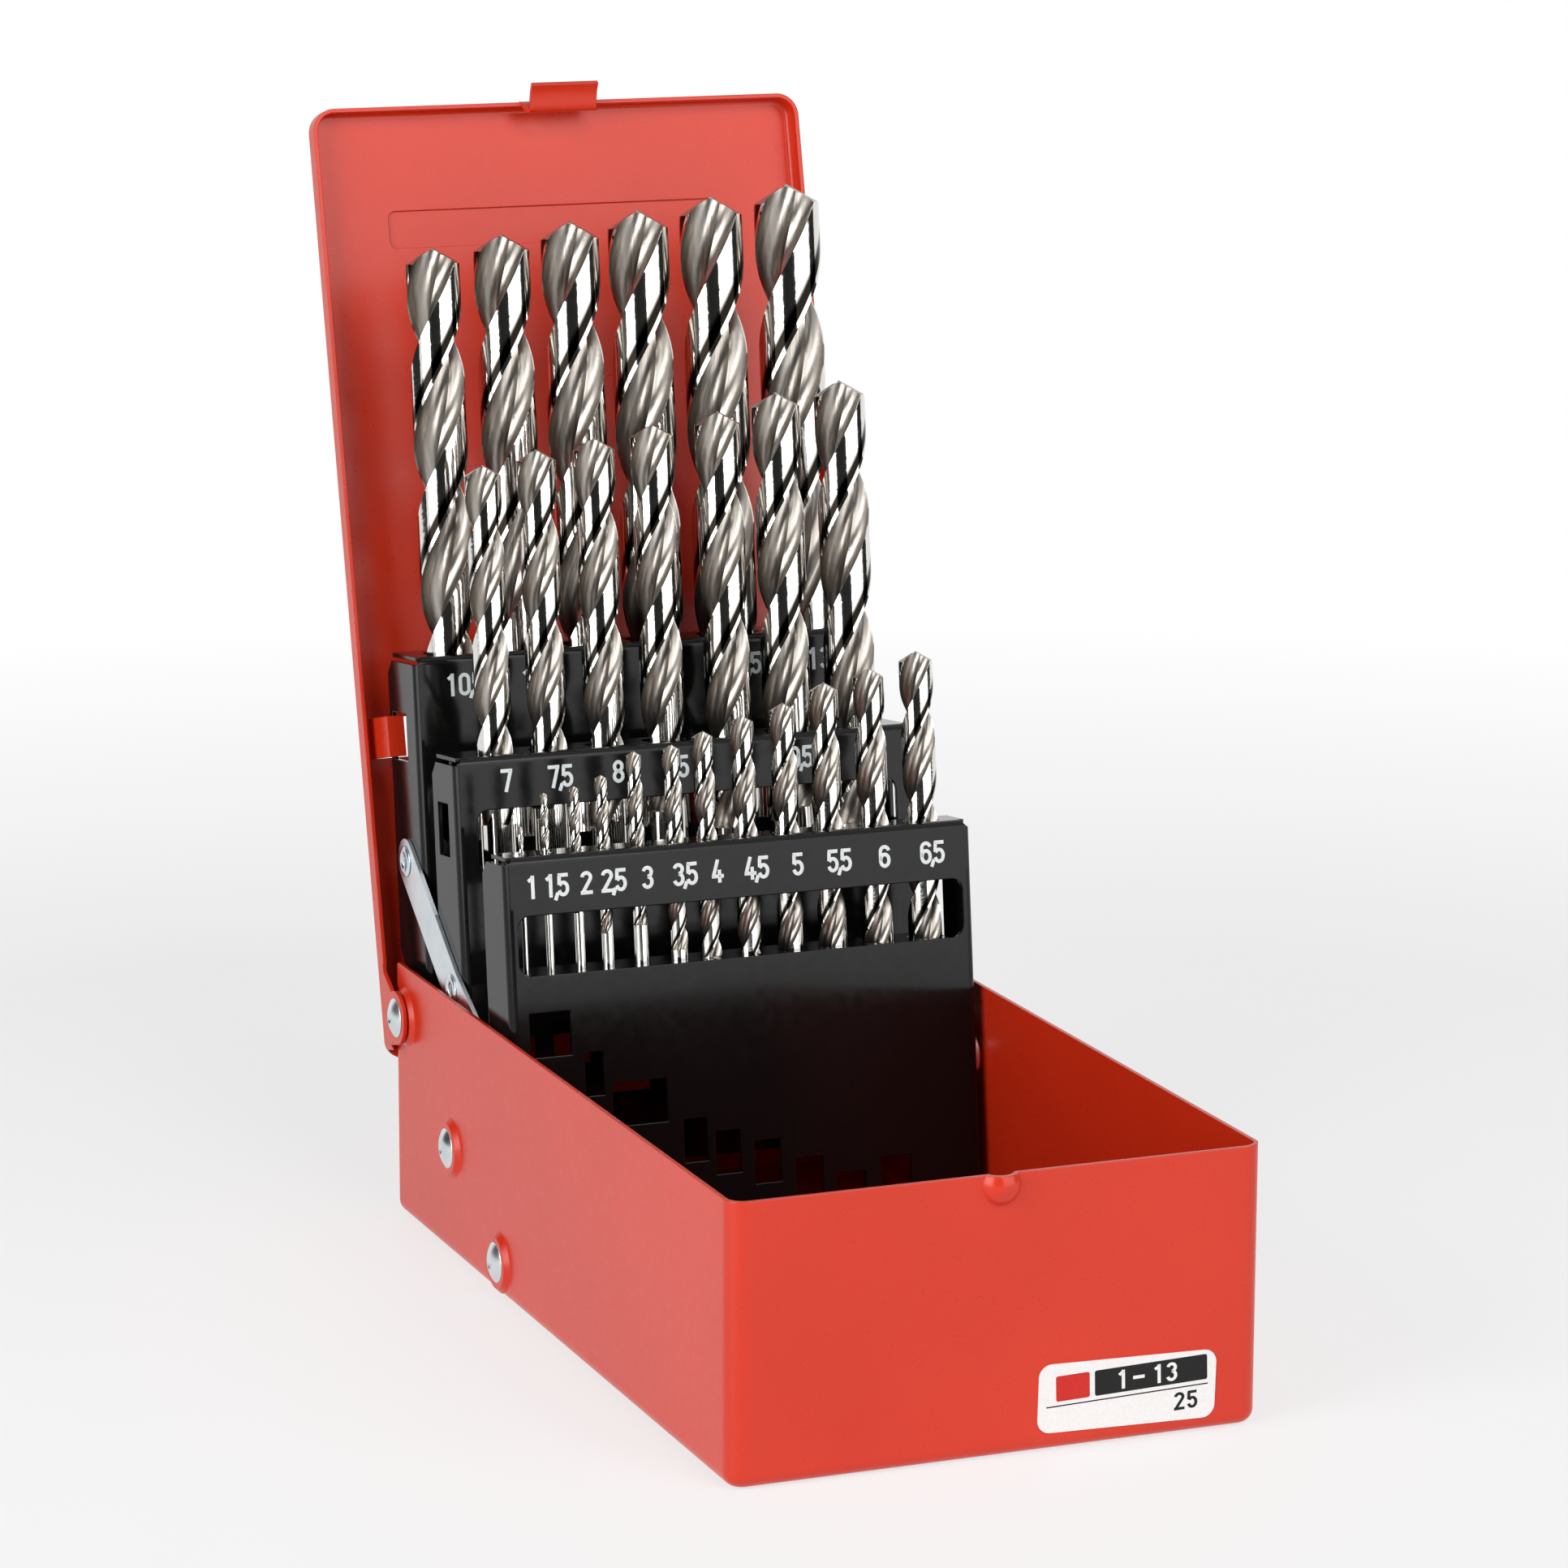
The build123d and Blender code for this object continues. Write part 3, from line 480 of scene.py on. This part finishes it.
# W and T stand for the half width and the height of a digit's middle line.
W, T = DIGIT_HALF, DIGIT_TOP
SIX = [arc((0, T - W), (W, W), 8, 180) + [(-W, 1.1)], arc((0, 1.12), (W, 1.12), 180, 540, 28)]
DIGITS = {
    "0": [arc((0, T - W), (W, W), 0, 180) + arc((0, W), (W, W), 180, 360) + [(W, T - W)]],
    "1": [[(0.25, -0.35), (0.25, T + 0.35)], [(-0.62, T - 0.72), (0.3, T - 0.02)]],
    "2": [arc((0, T - W), (W, W), 172, -22) + [(-0.72, 0.12)], [(-W - 0.35, 0), (W + 0.35, 0)]],
    "3": [arc((0, T - W), (0.8, W), 165, -88), arc((0, 1.0), (W, 1.0), 88, -165)],
    "4": [
        [(0.12, T + 0.35), (-0.82, 0.9)], [(-W - 0.3, 0.88), (W + 0.4, 0.88)],
        [(0.42, 2.1), (0.42, -0.35)],
    ],
    "5": [
        [(-W - 0.15, T), (W + 0.15, T)], [(-0.72, T), (-0.78, 1.9)],
        arc((0, 1.15), (W, 1.15), 148, -165),
    ],
    "6": SIX,
    "7": [[(-W - 0.35, T), (W + 0.3, T)], [(W - 0.02, T), (-0.25, -0.35)]],
    "8": [arc((0, T - 0.88), (0.76, 0.88), 0, 360, 28), arc((0, 0.97), (W, 0.97), 0, 360, 28)],
    "9": [[(-x, T - y) for x, y in stroke] for stroke in SIX],
    ",": [[(0.26, 0.45), (-0.24, -0.95)]],
}


# %% Draw every digit once
def digit(sign):
    """One digit as a thin lens of ink on the XY plane."""
    curve = bpy.data.curves.new("digit", "CURVE")
    curve.dimensions = "3D"
    curve.bevel_depth = STROKE / 2
    curve.bevel_resolution = 1
    curve.use_fill_caps = True
    for points in DIGITS[sign]:
        spline = curve.splines.new("POLY")
        spline.points.add(len(points) - 1)
        for point, (x, y) in zip(spline.points, points):
            point.co = (x, y, 0, 1)
    piece = bpy.data.objects.new("digit", curve)
    bpy.context.collection.objects.link(piece)
    only(piece)
    bpy.ops.object.convert(target="MESH")
    piece = bpy.context.object
    piece.scale = (MM, MM, MM * INK_FLAT)
    bpy.ops.object.transform_apply(location=False, rotation=False, scale=True)
    return piece


digits = {sign: digit(sign) for sign in DIGITS}
print("digits", {sign: len(piece.data.vertices) for sign, piece in digits.items()})

# %% Numbers
DIGIT_STEP = 2.72  # from one digit to the next


def copy_of(piece):
    """A copy with its own mesh."""
    only(piece)
    bpy.ops.object.duplicate(linked=False)
    return bpy.context.object


def joined(pieces, name):
    """Join pieces into the first one, under a new name."""
    only(pieces[0])
    for piece in pieces:
        piece.select_set(True)
    bpy.ops.object.join()
    whole = bpy.context.object
    whole.name = name
    return whole


def number(text, step):
    """Set copies of the digits side by side, centred on the origin."""
    across = -step * (len(text.replace(",", "")) - 1) / 2
    copies = []
    for sign in text:
        copy = copy_of(digits[sign])
        shift = across - step / 2 if sign == "," else across
        copy.location = (shift * MM, -DIGIT_TOP / 2 * MM, 0)
        copies.append(copy)
        across += 0 if sign == "," else step
    whole = joined(copies, "number")
    write_place(whole)
    return whole


# %% Print the sizes on the racks
PRINT_SMOOTH = 50


def rack_place(rack, behind, up):
    """The y and z of a point behind a rack's pin and up along the rack."""
    c, n = math.cos(RACK_LEAN), math.sin(RACK_LEAN)
    return rack.pin_y + behind * c + up * n, rack.pin_z - behind * n + up * c


for rack, sizes in RACKS.items():
    y, z = rack_place(sizes, sizes.face, sizes.print_height)
    prints = []
    for diameter, x, _ in sizes.drills:
        piece = number(f"{diameter:g}".replace(".", ","), DIGIT_STEP)
        piece.rotation_euler = (math.pi / 2 - RACK_LEAN, 0, 0)
        piece.location = (x * MM, y * MM, z * MM)
        write_place(piece)
        prints.append(piece)
    whole = joined(prints, rack + "_sizes")
    dress(whole, pale_ink, PRINT_SMOOTH)
    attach(whole, rack)
    print(whole.name, "faces", len(whole.data.polygons))

# %% [markdown]
# ## The label
#
# The label carries only the range of sizes and the number of drills. It could be an image,
# but a few flat bars and the digits that are already drawn give sharper edges at any
# distance. A bar with its corners cut round fills the upper part, with the range left white
# in it, a red patch stands beside it, and a thin rule stands above the count.

# %% The label's print, in millimetres from the middle of the label
LABEL_AT = (24.2, -91.25, 9.2)
LABEL_TILT = math.radians(-1.5)
LABEL_FACE = 0.16  # the print lies this far in front of the tray's wall
BAR = (21.6, 4.6)
BAR_AT = (4.6, 2.35)
PATCH = (6.4, 4.6)
PATCH_AT = (-10.4, 2.35)
BAR_CORNER = 0.4
CORNER_SEGMENTS = 5
RULE = (31.0, 0.22)
RULE_AT = (0.0, -0.75)
DASH = (2.2, 0.6)
DASH_AT = (BAR_AT[0] - 2.4, BAR_AT[1])
LOW_AT = (BAR_AT[0] - 5.6, BAR_AT[1])
HIGH_AT = (BAR_AT[0] + 2.6, BAR_AT[1])
COUNT_AT = (11.2, -3.25)
BAR_THICK = 0.02
RANGE_LIFT = 0.03  # the white range lies on top of the bar
COUNT_LIFT = 0.01


def bar(name, size, place, corner=0.0, lift=0.0):
    """A flat printed bar parallel to the XY plane, with rounded corners."""
    fresh()
    bpy.ops.mesh.primitive_plane_add(size=1)
    piece = bpy.context.object
    piece.name = name
    bpy.ops.object.mode_set(mode="EDIT")
    bpy.ops.mesh.select_all(action="SELECT")
    bpy.ops.transform.resize(value=(size[0] * MM, size[1] * MM, 1))
    if corner:
        bpy.ops.mesh.bevel(offset=corner * MM, segments=CORNER_SEGMENTS, affect="VERTICES")
    bpy.ops.mesh.extrude_region_move(TRANSFORM_OT_translate={"value": (0, 0, BAR_THICK * MM)})
    bpy.ops.mesh.select_all(action="SELECT")
    bpy.ops.mesh.normals_make_consistent(inside=False)
    bpy.ops.object.mode_set(mode="OBJECT")
    piece.location = (place[0] * MM, place[1] * MM, lift * MM)
    write_place(piece)
    return piece


# %% Text on the label
RANGE_SCALE = 0.78
COUNT_SCALE = 0.74
LABEL_WIDER = 1.15  # the label's digits are wider than the racks'
LABEL_STEP = 1.08 * DIGIT_STEP


def text_at(text, scale, place, lift):
    """A number on the label, scaled from the racks' digits."""
    piece = number(text, LABEL_STEP)
    piece.scale = (scale * LABEL_WIDER, scale, scale)
    piece.location = (place[0] * MM, place[1] * MM, lift * MM)
    write_place(piece)
    return piece


def on_label(piece, name, material):
    """Stand a print on the label and let it ride with the case."""
    piece.name = name
    piece.rotation_euler = (math.pi / 2, LABEL_TILT, 0)
    piece.location = (LABEL_AT[0] * MM, (LABEL_AT[1] - LABEL_FACE) * MM, LABEL_AT[2] * MM)
    dress(piece, material, PRINT_SMOOTH)
    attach(piece, "case")
    print(name, "faces", len(piece.data.polygons))


black_print = [
    bar("bar", BAR, BAR_AT, corner=BAR_CORNER),
    bar("rule", RULE, RULE_AT),
    text_at("25", COUNT_SCALE, COUNT_AT, COUNT_LIFT),
]
red_print = bar("patch", PATCH, PATCH_AT, corner=BAR_CORNER)
white_print = [
    text_at("1", RANGE_SCALE, LOW_AT, RANGE_LIFT),
    bar("dash", DASH, DASH_AT, lift=RANGE_LIFT),
    text_at("13", RANGE_SCALE, HIGH_AT, RANGE_LIFT),
]
on_label(joined(black_print, "label_ink"), "label_ink", black_ink)
on_label(joined(white_print, "label_range"), "label_range", paper)
on_label(red_print, "label_patch", red_ink)
for piece in digits.values():
    bpy.data.objects.remove(piece)

# %% [markdown]
# ## Rivets and eyelets
#
# The pins the lid and the racks turn on are rivets: a low dome outside, staked in its middle
# by the setting tool, a shank through the sheets and a smaller tail inside. The links hang
# on eyelets, tubes whose ends are rolled outward. A cylinder with bevels would miss the
# stake's hollow and the roll. Both are turned shapes, so a profile is drawn point by point
# and spun about its axis, and every other one is a copy.

# %% A turned piece
SPIN_STEPS = 48
SPIN_WELD = 0.002  # the seam and the poles are merged within this distance
TURNED_SMOOTH = 35


def turned(name, profile):
    """Spin a profile of (radius, height) points in millimetres about Z."""
    fresh()
    bpy.ops.mesh.primitive_plane_add(size=1)
    piece = bpy.context.object
    piece.name = name
    bpy.ops.object.mode_set(mode="EDIT")
    bpy.ops.mesh.select_mode(type="VERT")
    bpy.ops.mesh.select_all(action="SELECT")
    bpy.ops.mesh.merge(type="CENTER")
    radius, height = profile[0]
    bpy.ops.transform.translate(value=(radius * MM, 0, height * MM))
    for (r0, h0), (r1, h1) in zip(profile, profile[1:]):
        step = ((r1 - r0) * MM, 0, (h1 - h0) * MM)
        bpy.ops.mesh.extrude_region_move(TRANSFORM_OT_translate={"value": step})
    bpy.ops.mesh.select_all(action="SELECT")
    bpy.ops.mesh.spin(steps=SPIN_STEPS, angle=2 * math.pi, center=(0, 0, 0), axis=(0, 0, 1))
    bpy.ops.mesh.select_all(action="SELECT")
    bpy.ops.mesh.remove_doubles(threshold=SPIN_WELD * MM)
    bpy.ops.mesh.normals_make_consistent(inside=False)
    bpy.ops.object.mode_set(mode="OBJECT")
    return piece


def pair(piece, name, seat, place, body, node):
    """Set a turned piece on both sides of the case, facing outward."""
    y, z = place
    sides = []
    for side in (-1, 1):
        copy = copy_of(piece)
        copy.rotation_euler = (0, side * math.pi / 2, 0)
        copy.location = (side * seat * MM, y * MM, z * MM)
        sides.append(copy)
    whole = joined(sides, name)
    dress(whole, zinc, TURNED_SMOOTH)
    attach(whole, body)
    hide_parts(node)
    print(name, "faces", len(whole.data.polygons))


# %% Rivets
HEAD_RADIUS = 3.9
HEAD_HEIGHT = 1.2
HEAD_RIM = 0.12  # flat under the edge of the head
STAKE_RADIUS = 1.35
STAKE_DEPTH = 0.55
STAKE_FLOOR = 0.55  # radius of the hollow's floor
STAKE_RISE = 0.0825  # from the middle of that floor to its edge
DOME_STEPS = 8
DOME_SPREAD = 0.8  # under 1, the dome's points draw together towards its rim
SHANK_RADIUS = 2.0
TAIL_RADIUS = 3.0
TAIL_HEIGHT = 0.8
TAIL_EDGE = 0.56  # straight part of the tail's side, before its chamfer
TAIL_CHAMFER = 0.4
TAIL_AT = 46.55  # from the middle of the case to just inside the rack's cheek
HINGE_SEAT = 52.15  # to just outside the lid's ear
BOSS_SEAT = 51.0  # to the outer face of the tray's bosses


def rivet_profile(seat):
    """From the staked middle over the dome, down the shank to the tail."""
    dome = (HEAD_RADIUS**2 + HEAD_HEIGHT**2) / (2 * HEAD_HEIGHT)
    hollow = HEAD_HEIGHT - STAKE_DEPTH
    points = [(0, hollow), (STAKE_FLOOR, hollow + STAKE_RISE)]
    for k in range(DOME_STEPS + 1):
        r = STAKE_RADIUS + (HEAD_RADIUS - STAKE_RADIUS) * (k / DOME_STEPS) ** DOME_SPREAD
        points.append((r, math.sqrt(dome**2 - r**2) - (dome - HEAD_HEIGHT)))
    tail = TAIL_AT - seat
    points += [(HEAD_RADIUS - HEAD_RIM, 0.0), (SHANK_RADIUS, 0.0), (SHANK_RADIUS, tail)]
    points += [(TAIL_RADIUS, tail), (TAIL_RADIUS, tail - TAIL_EDGE)]
    points += [(TAIL_RADIUS - TAIL_CHAMFER, tail - TAIL_HEIGHT), (0, tail - TAIL_HEIGHT)]
    return points


for node, rack, seat in (
    ("hinge_rivets", "rear_rack", HINGE_SEAT),
    ("middle_pivot_rivets", "middle_rack", BOSS_SEAT),
    ("front_pivot_rivets", "front_rack", BOSS_SEAT),
):
    rivet = turned("rivet", rivet_profile(seat))
    pair(rivet, node + "_turned", seat, rack_place(RACKS[rack], 0, 0), "case", node)
    bpy.data.objects.remove(rivet)

# %% Eyelets
EYELET_SEAT = 46.6  # from the middle of the case to the inner face of the rack's cheek
EYELET_BEHIND = 0.6  # behind the rack's pin
EYELET_UP = 30.5  # up the rack from its pin
EYELET_PROFILE = [
    (1.25, -0.2), (1.25, 1.5), (1.36, 1.85), (1.7, 2.06), (2.2, 2.1), (2.75, 2.03), (3.05, 1.85),
    (2.98, 1.7), (1.9, 1.7), (1.9, 0.0), (3.05, 0.0), (3.05, -0.2), (2.6, -0.38), (1.6, -0.4), (1.25, -0.2),
]
eyelet = turned("eyelet", EYELET_PROFILE)
for name in ("rear", "middle", "front"):
    place = rack_place(RACKS[name + "_rack"], EYELET_BEHIND, EYELET_UP)
    pair(eyelet, name + "_eyelets_turned", EYELET_SEAT, place, name + "_rack", name + "_eyelets")
bpy.data.objects.remove(eyelet)

# %% [markdown]
# ## Camera and light
#
# The camera looks down a little from the front left with a long lens. The studio is a pale
# room with three soft lights: a large one on the left, a wider one at the front right, and a
# small one high above the front. The background is white to the eye and to metal. A brighter
# world would make it white too, but would also wash out the enamel, so the world is white
# only to the rays that see it and stays a soft grey to the rays that light the case.

# %% Camera
CAMERA_AT = Vector((-0.38414, -0.94560, 0.32221))
AZIMUTH = math.radians(-21.913)
ELEVATION = math.radians(12.246)
ROLL = math.radians(0.168)
FOCAL_PX = 7010.3  # focal length in pixels, in a frame that is FRAME_PX wide
FRAME_PX = 1932
SENSOR = 36.0

camera = bpy.data.cameras.new("camera")
camera.sensor_width = SENSOR
camera.lens = SENSOR * FOCAL_PX / FRAME_PX
camera.clip_start = 0.01
viewer = bpy.data.objects.new("camera", camera)
bpy.context.collection.objects.link(viewer)
turn = Matrix.Rotation(AZIMUTH, 4, "Z") @ Matrix.Rotation(math.pi / 2 - ELEVATION, 4, "X")
viewer.matrix_world = Matrix.Translation(CAMERA_AT) @ turn @ Matrix.Rotation(ROLL, 4, "Z")
bpy.context.scene.camera = viewer
print("lens", round(camera.lens, 2), "mm")

# %% World: white to the eye and to metal, a soft grey to everything else
FILL = 0.13
WHITE = (1, 1, 1, 1)


def seen(tree):
    """1 for the rays that see the background, straight on or in metal or glass, or else 0."""
    path = tree.nodes.new("ShaderNodeLightPath")
    mirrored = calc(tree, "MAXIMUM", path.outputs["Is Camera Ray"], path.outputs["Is Glossy Ray"])
    return calc(tree, "MAXIMUM", mirrored, path.outputs["Is Transmission Ray"])


def background(tree, strength):
    """A plain white background of one strength."""
    node = tree.nodes.new("ShaderNodeBackground")
    node.inputs["Color"].default_value = WHITE
    node.inputs["Strength"].default_value = strength
    return node.outputs[0]


world = bpy.data.worlds.new("studio")
bpy.context.scene.world = world
world.use_nodes = True
tree = world.node_tree
tree.nodes.clear()
mix = tree.nodes.new("ShaderNodeMixShader")
tree.links.new(seen(tree), mix.inputs["Fac"])
tree.links.new(background(tree, FILL), mix.inputs[1])
tree.links.new(background(tree, 1.0), mix.inputs[2])
tree.links.new(mix.outputs[0], tree.nodes.new("ShaderNodeOutputWorld").inputs["Surface"])
print("world nodes", len(tree.nodes))


# %% Lights, in metres and watts
def soft_light(name, place, aim_height, size, power):
    """A rectangular softbox that faces the axis of the case at a height."""
    data = bpy.data.lights.new(name, "AREA")
    data.shape = "RECTANGLE"
    data.size, data.size_y = size
    data.energy = power
    lamp = bpy.data.objects.new(name, data)
    bpy.context.collection.objects.link(lamp)
    look = Vector((0, 0, aim_height)) - Vector(place)
    lamp.matrix_world = Matrix.Translation(place) @ look.to_track_quat("-Z", "Y").to_matrix().to_4x4()
    print(name, power, "W")


soft_light("left_softbox", (-0.90, -0.36, 0.42), aim_height=0.12, size=(0.70, 0.90), power=8.8)
soft_light("right_softbox", (0.58, -0.94, 0.42), aim_height=0.12, size=(1.30, 0.90), power=6.5)
soft_light("key_softbox", (0.15, -0.90, 1.05), aim_height=0.10, size=(0.60, 0.60), power=5)

# %% [markdown]
# ### Black cards
#
# Polished steel looks like steel only when it has something dark to mirror. The lands could
# be painted darker, but then they would be dark from every side. Three black cards stand
# round the case instead, where a studio keeps its flags: behind the camera, and to the left
# and right between the lights and the white background.

# %% Black cards, in metres
def card(name, direction, distance, width, height):
    """An upright card that faces the case from a direction in degrees about Z, from +X."""
    fresh()
    bpy.ops.mesh.primitive_plane_add(size=1)
    piece = bpy.context.object
    piece.name = name
    bpy.ops.object.mode_set(mode="EDIT")
    bpy.ops.mesh.select_all(action="SELECT")
    bpy.ops.transform.resize(value=(width, height, 1))
    bpy.ops.object.mode_set(mode="OBJECT")
    angle = math.radians(direction)
    piece.location = (distance * math.cos(angle), distance * math.sin(angle), height / 2)
    piece.rotation_euler = (math.pi / 2, 0, angle + math.pi / 2)
    write_place(piece)
    material, tree, shader = new_material(name)
    felt = ramp(tree, noise(tree, scale=300, detail=2.0), (0.004, 0.004, 0.004), (0.008, 0.008, 0.008))
    tree.links.new(felt, shader.inputs["Base Color"])
    shader.inputs["Roughness"].default_value = 0.9
    piece.data.materials.append(material)
    piece.visible_camera = False
    print(name, width, "by", height, "m")


card("camera_card", direction=-112.5, distance=1.35, width=1.23, height=1.3)
card("left_card", direction=147, distance=1.2, width=1.05, height=1.2)
card("right_card", direction=-11, distance=1.2, width=0.55, height=1.2)

# %% [markdown]
# ### Floor
#
# The floor is pale and keeps the shadow close round the case. Farther out it turns into the
# white of the background, so that no horizon shows. It could be a curved sweep of paper, but
# a curve that is lit always shades from white to grey somewhere.

# %% Floor, in metres
FLOOR_SIZE = 16
FLOOR_DROP = 0.0002  # below the tray, so that the two never touch
GLOW_SPAN = (0.30, 0.70)  # distance from the case over which the glow grows
GLOW_NEAR = 0.70  # share of white glow up to there

fresh()
bpy.ops.mesh.primitive_plane_add(size=FLOOR_SIZE, location=(0, 0, -FLOOR_DROP))
floor = bpy.context.object
floor.name = "floor"
material, tree, shader = new_material("floor")
shader.inputs["Roughness"].default_value = 0.6
speckle = ramp(tree, noise(tree, scale=40, detail=2.0), (0.86, 0.86, 0.86), (0.88, 0.88, 0.88))
tree.links.new(speckle, shader.inputs["Base Color"])
glow = tree.nodes.new("ShaderNodeEmission")
glow.inputs["Color"].default_value = WHITE
distance = tree.nodes.new("ShaderNodeVectorMath")
distance.operation = "LENGTH"
tree.links.new(tree.nodes.new("ShaderNodeTexCoord").outputs["Object"], distance.inputs[0])
far = between(tree, distance.outputs["Value"], GLOW_NEAR, 1.0, span=GLOW_SPAN)
blend = tree.nodes.new("ShaderNodeMixShader")
tree.links.new(calc(tree, "MULTIPLY", seen(tree), far), blend.inputs["Fac"])
tree.links.new(shader.outputs[0], blend.inputs[1])
tree.links.new(glow.outputs[0], blend.inputs[2])
tree.links.new(blend.outputs[0], tree.nodes["Material Output"].inputs["Surface"])
floor.data.materials.append(material)
print("floor", FLOOR_SIZE, "m")

# %% Colour transform
bpy.context.scene.view_settings.view_transform = "Standard"
